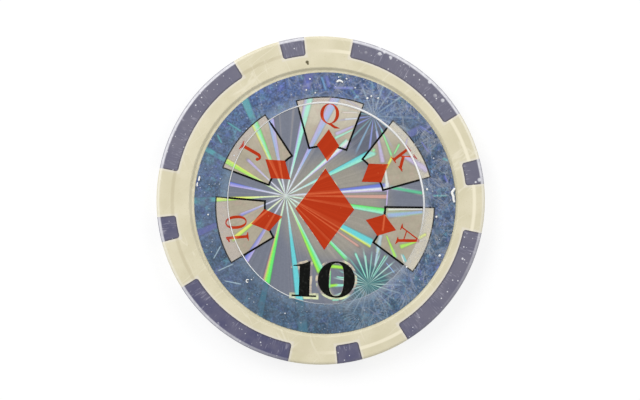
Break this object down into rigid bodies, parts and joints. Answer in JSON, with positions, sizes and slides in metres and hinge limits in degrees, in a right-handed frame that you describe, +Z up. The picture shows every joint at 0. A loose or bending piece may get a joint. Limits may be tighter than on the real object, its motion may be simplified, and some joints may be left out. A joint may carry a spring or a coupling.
{
  "type": "poker chip",
  "caption": "Round game chip of two-colour moulded plastic over a steel slug, with edge spots, and a foil label under a clear cover ring in a recess on each face.",
  "frame": {"origin": "middle of the underside, on the chip's axis, on the surface it lies on", "axes": "+Z up along the chip's axis through the front face, +Y towards the top of the front label as the picture shows it"},
  "size_m": [0.04, 0.04, 0.0034],
  "materials": {
    "cream_plastic": "satin moulded plastic, lightly worn",
    "purple_plastic": "satin moulded plastic, scuffed",
    "steel": "punched and tumbled",
    "adhesive": "clear acrylic adhesive film",
    "foil_label": "printed metallised film with a starburst pattern",
    "clear_film": "clear film, hazy and scratched"
  },
  "bodies": {
    "root": {"body": "cream_plastic", "spot_ring": "purple_plastic", "steel_slug": "steel", "front_adhesive": "adhesive", "front_label": "foil_label", "front_cover_ring": "clear_film", "back_adhesive": "adhesive", "back_label": "foil_label", "back_cover_ring": "clear_film"}
  },
  "joints": []
}
